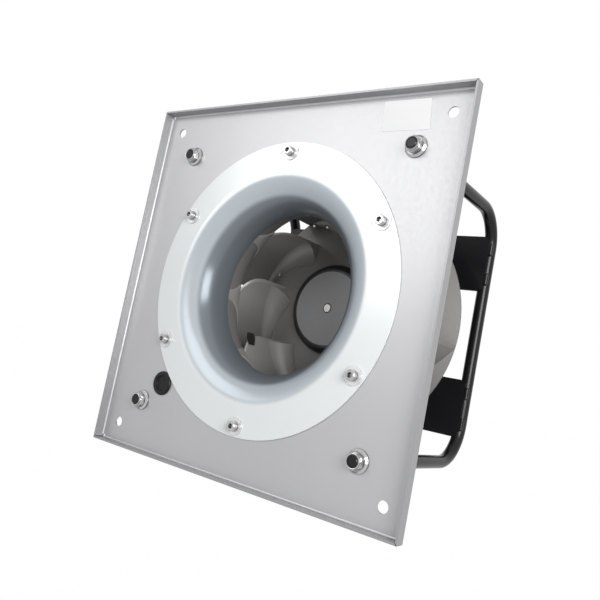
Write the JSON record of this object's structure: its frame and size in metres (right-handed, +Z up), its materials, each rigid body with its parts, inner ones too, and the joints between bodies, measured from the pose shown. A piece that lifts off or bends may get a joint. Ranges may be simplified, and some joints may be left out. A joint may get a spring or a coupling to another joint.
{
  "type": "plug fan",
  "caption": "Plug fan: square sheet panel with an inlet ring, a riveted wheel of backward-curved blades behind it and an outer-rotor motor held by two bent bars.",
  "frame": {"origin": "centre of the panel's front face, which is the centre of its four corner holes and lies on the fan axis", "axes": "+Z up, +X to the right seen from the front, +Y to the rear along the fan axis"},
  "size_m": [0.4, 0.2351, 0.4],
  "materials": {
    "galvanised_sheet": "galvanised",
    "galvanised_ring": "galvanised",
    "zinc": "zinc plated",
    "black_gloss_steel": "gloss black",
    "black_rubber": "matt",
    "wheel_aluminium": "satin",
    "rivet_aluminium": "bright",
    "cast_housing": "black cast",
    "rotor_black": "satin black",
    "rotor_grey": "satin grey",
    "ground_steel": "ground",
    "laminations": "stacked sheet",
    "copper": "enamelled copper",
    "magnet": "sintered",
    "board": "coated board",
    "gland_plastic": "satin",
    "clip_black": "matt",
    "label_white": "bare label"
  },
  "bodies": {
    "frame": {"mounting_panel": "galvanised_sheet", "inlet_ring": "galvanised_ring", "ring_screws": "zinc", "ring_washers": "zinc", "ring_rivet_nuts": "zinc", "panel_grommet": "black_rubber", "cage_bar_left": "black_gloss_steel", "cage_bar_right": "black_gloss_steel", "cage_nuts": "zinc", "motor_bracket": "black_gloss_steel", "bracket_welds": "black_gloss_steel", "motor_screws": "zinc", "motor_washers": "zinc", "electronics_housing": "cast_housing", "cable_gland": "gland_plastic", "electronics_cover": "cast_housing", "cover_screws": "zinc", "circuit_board": "board", "stator_bush": "ground_steel", "outer_races": "ground_steel", "stator_core": "laminations", "stator_windings": "copper"},
    "rotor": {"rotor_cup": "rotor_black", "rotor_face": "rotor_grey", "rotor_magnets": "magnet", "shaft": "ground_steel", "shaft_clip": "ground_steel", "inner_races": "ground_steel", "ball_sets": "ground_steel", "impeller_back_disc": "wheel_aluminium", "impeller_shroud": "wheel_aluminium", "impeller_blades": "wheel_aluminium", "impeller_rivets": "rivet_aluminium", "balance_clip": "clip_black"}
  },
  "joints": [
    {"name": "impeller_spin", "type": "hinge", "parent": "frame", "child": "rotor", "pos_m": [0, 0.12, 0], "axis": [0, 1, 0], "continuous": true}
  ]
}
